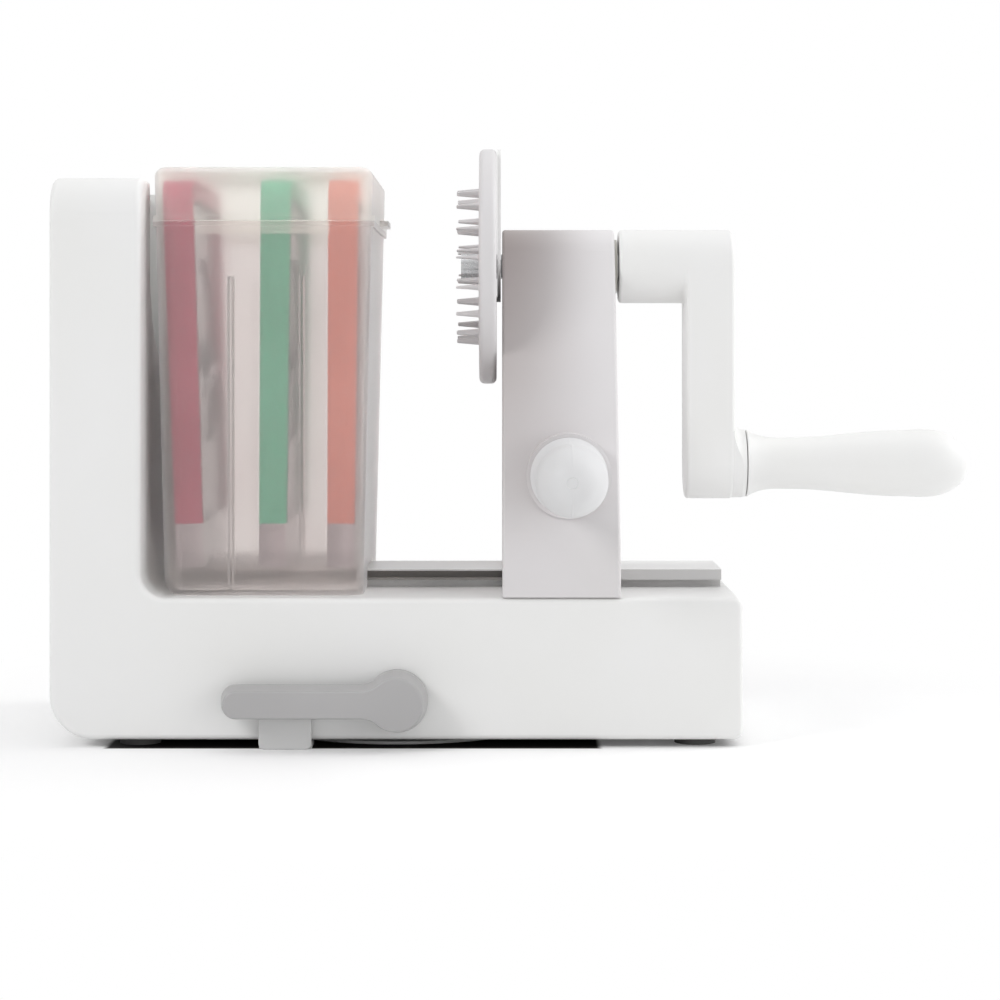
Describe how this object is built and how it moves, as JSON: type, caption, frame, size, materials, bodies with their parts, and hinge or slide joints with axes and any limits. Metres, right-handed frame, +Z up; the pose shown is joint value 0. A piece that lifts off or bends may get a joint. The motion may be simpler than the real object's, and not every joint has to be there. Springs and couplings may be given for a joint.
{
  "type": "hand cranked spiralizer",
  "caption": "Hand-cranked vegetable spiralizer: L-shaped base with rail, sliding crank carriage, spiked disc, stored blade box, suction lever",
  "frame": {"origin": "centre of the base's footprint on the table, under the suction cup", "axes": "+X towards the crank, +Y away from the lever, +Z up"},
  "size_m": [0.3654, 0.175, 0.235],
  "materials": {
    "white_plastic": "satin white moulded plastic",
    "rail_plastic": "smooth light grey moulded plastic",
    "cover_plastic": "dark grey moulded plastic",
    "frosted_plastic": "frosted translucent moulded plastic",
    "clear_plastic": "milky clear moulded plastic",
    "raspberry_plastic": "satin raspberry moulded plastic",
    "green_plastic": "satin green moulded plastic",
    "coral_plastic": "satin coral moulded plastic",
    "grey_plastic": "satin grey moulded plastic",
    "bearing_plastic": "smooth natural bearing plastic",
    "cup_rubber": "soft grey rubber",
    "foot_rubber": "grey rubber",
    "steel": "plain bright steel"
  },
  "bodies": {
    "base": {"body_shell": "white_plastic", "bottom_cover": "cover_plastic", "cover_screws": "steel", "rail_screws": "steel", "rubber_foot_rear_left": "foot_rubber", "rubber_foot_rear_right": "foot_rubber", "rubber_foot_front_left": "foot_rubber", "rubber_foot_front_right": "foot_rubber", "slide_rail": "rail_plastic", "lever_bush": "bearing_plastic", "suction_cup": "cup_rubber"},
    "cup_plunger": {"cup_plunger": "bearing_plastic"},
    "lock_lever": {"lock_lever": "grey_plastic", "lever_shaft": "steel", "lever_shaft_clip": "steel", "lever_cam": "bearing_plastic"},
    "carriage": {"carriage_shell": "white_plastic", "side_handle": "white_plastic", "carriage_slide_plate": "bearing_plastic", "shaft_bush_left": "bearing_plastic", "shaft_bush_right": "bearing_plastic", "carriage_screws": "steel", "side_handle_bolt": "steel"},
    "crank": {"crank_shaft": "steel", "shaft_clip": "steel", "release_spring": "steel", "crank_screw": "steel", "grip_pin": "steel", "holder_centre_ring": "steel", "food_holder": "white_plastic", "crank_arm": "white_plastic", "crank_hub_cap": "white_plastic"},
    "release_tab": {"holder_release_tab": "white_plastic"},
    "crank_grip": {"crank_grip": "white_plastic", "grip_bush": "bearing_plastic"},
    "blade_box": {"blade_box": "frosted_plastic", "ribbon_blade_grip": "raspberry_plastic", "ribbon_blade_frame": "clear_plastic", "ribbon_blade_knife": "steel", "ribbon_blade_coring_ring": "steel", "fine_blade_grip": "green_plastic", "fine_blade_frame": "clear_plastic", "fine_blade_knife": "steel", "fine_blade_coring_ring": "steel", "fine_blade_comb": "steel", "wide_blade_grip": "coral_plastic", "wide_blade_frame": "clear_plastic", "wide_blade_knife": "steel", "wide_blade_coring_ring": "steel", "wide_blade_comb": "steel", "knife_rivets": "steel"},
    "box_lid": {"box_lid": "frosted_plastic"}
  },
  "joints": [
    {"name": "carriage_slide", "type": "slide", "parent": "base", "child": "carriage", "axis": [1, 0, 0], "range_m": [-0.025, 0.042]},
    {"name": "crank_turn", "type": "hinge", "parent": "carriage", "child": "crank", "pos_m": [0.1, 0, 0.187], "axis": [1, 0, 0], "continuous": true},
    {"name": "grip_spin", "type": "hinge", "parent": "crank", "child": "crank_grip", "pos_m": [0.186, 0, 0.1064], "axis": [1, 0, 0], "continuous": true},
    {"name": "release_tab_press", "type": "slide", "parent": "crank", "child": "release_tab", "axis": [0, 0, -1], "range_m": [0, 0.002], "stiffness_N_per_m": 900, "springref_m": -0.001, "deforming": ["release_spring"]},
    {"name": "lever_turn", "type": "hinge", "parent": "base", "child": "lock_lever", "pos_m": [0.0006, 0, 0.0185], "axis": [0, 1, 0], "range_deg": [0, 90]},
    {"name": "cup_lift", "type": "slide", "parent": "base", "child": "cup_plunger", "axis": [0, 0, -1], "range_m": [0, 0.003], "deforming": ["suction_cup"]},
    {"name": "box_lift", "type": "slide", "parent": "base", "child": "blade_box", "axis": [0, 0, 1], "range_m": [0, 0.19]},
    {"name": "lid_lift", "type": "slide", "parent": "blade_box", "child": "box_lid", "axis": [0, 0, 1], "range_m": [0, 0.04]}
  ],
  "couplings": [
    {"joint": "cup_lift", "follows": "lever_turn", "m_per_rad": 0.0019}
  ]
}
